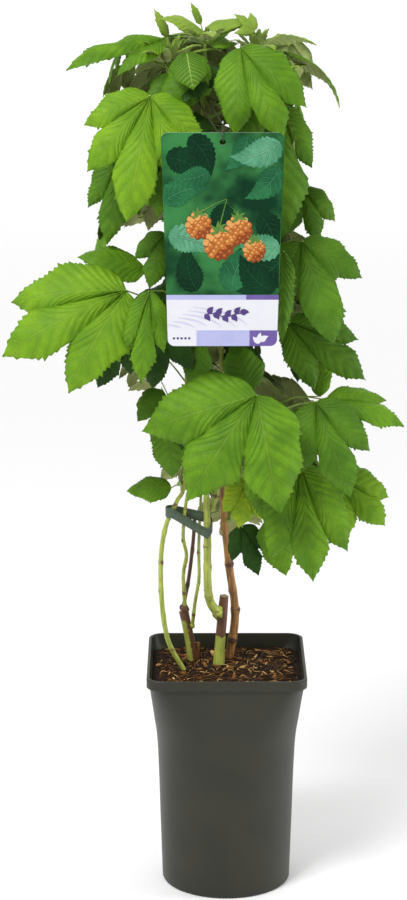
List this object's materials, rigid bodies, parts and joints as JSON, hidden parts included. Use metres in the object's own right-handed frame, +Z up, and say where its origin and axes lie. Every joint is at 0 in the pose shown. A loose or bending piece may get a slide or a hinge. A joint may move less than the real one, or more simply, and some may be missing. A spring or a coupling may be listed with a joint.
{
  "type": "raspberry cane in a pot",
  "caption": "Young raspberry in a tall square-rimmed pot: green and woody canes, side shoots with toothed compound leaves, a strap round the canes and a hanging plant tag.",
  "frame": {"origin": "middle of the pot's flat underside, on the surface that the pot stands on", "axes": "+Z up along the canes, -Y towards the front where the tag hangs, +X to the right seen from the front"},
  "size_m": [0.365, 0.2662, 0.84],
  "materials": {
    "pot_plastic": "blow-moulded dark olive-grey plastic with a dull sheen",
    "compost": "dark brown moist compost with bark chips and fibres",
    "green_bark": "smooth yellow-green cane with purple-brown nodes and small prickles",
    "brown_bark": "dull brown ripened cane bark with fine lengthwise cracks",
    "leaves": "soft, pleated, toothed leaves, fresh green above and pale below",
    "strap": "dark green flat plant tie",
    "tag_card": null,
    "loop_plastic": "thin pale plastic loop"
  },
  "bodies": {
    "root": {"pot": "pot_plastic", "soil": "compost", "brown_cane": "brown_bark", "cut_stub": "green_bark", "green_cane": "green_bark", "green_fork": "green_bark", "left_cane": "green_bark", "left_stub": "green_bark", "knotted_shoot": "green_bark", "dark_shoot": "brown_bark", "side_shoot": "green_bark", "tie": "strap", "hang_tag": "tag_card", "tag_loop": "loop_plastic", "top_shoot": "leaves", "top_front": "leaves", "top_left": "leaves", "top_right": "leaves", "right_crest": "leaves", "upper_right": "leaves", "right_hanging": "leaves", "inner_right": "leaves", "right_curled": "leaves", "upper_left": "leaves", "left_hanging": "leaves", "left_side": "leaves", "left_middle": "leaves", "front_left": "leaves", "front_upper": "leaves", "front_middle": "leaves", "right_middle": "leaves", "right_inner": "leaves", "right_low": "leaves", "centre_low": "leaves", "low_right": "leaves", "low_right_hanging": "leaves", "low_right_side": "leaves", "low_centre": "leaves", "low_back": "leaves", "low_left": "leaves", "left_low": "leaves", "inner_left": "leaves", "back_low_left": "leaves", "back_low_right": "leaves", "back_left": "leaves", "back_middle": "leaves", "back_right": "leaves", "back_upper_left": "leaves", "back_upper": "leaves", "back_upper_right": "leaves", "back_top": "leaves"}
  },
  "joints": []
}
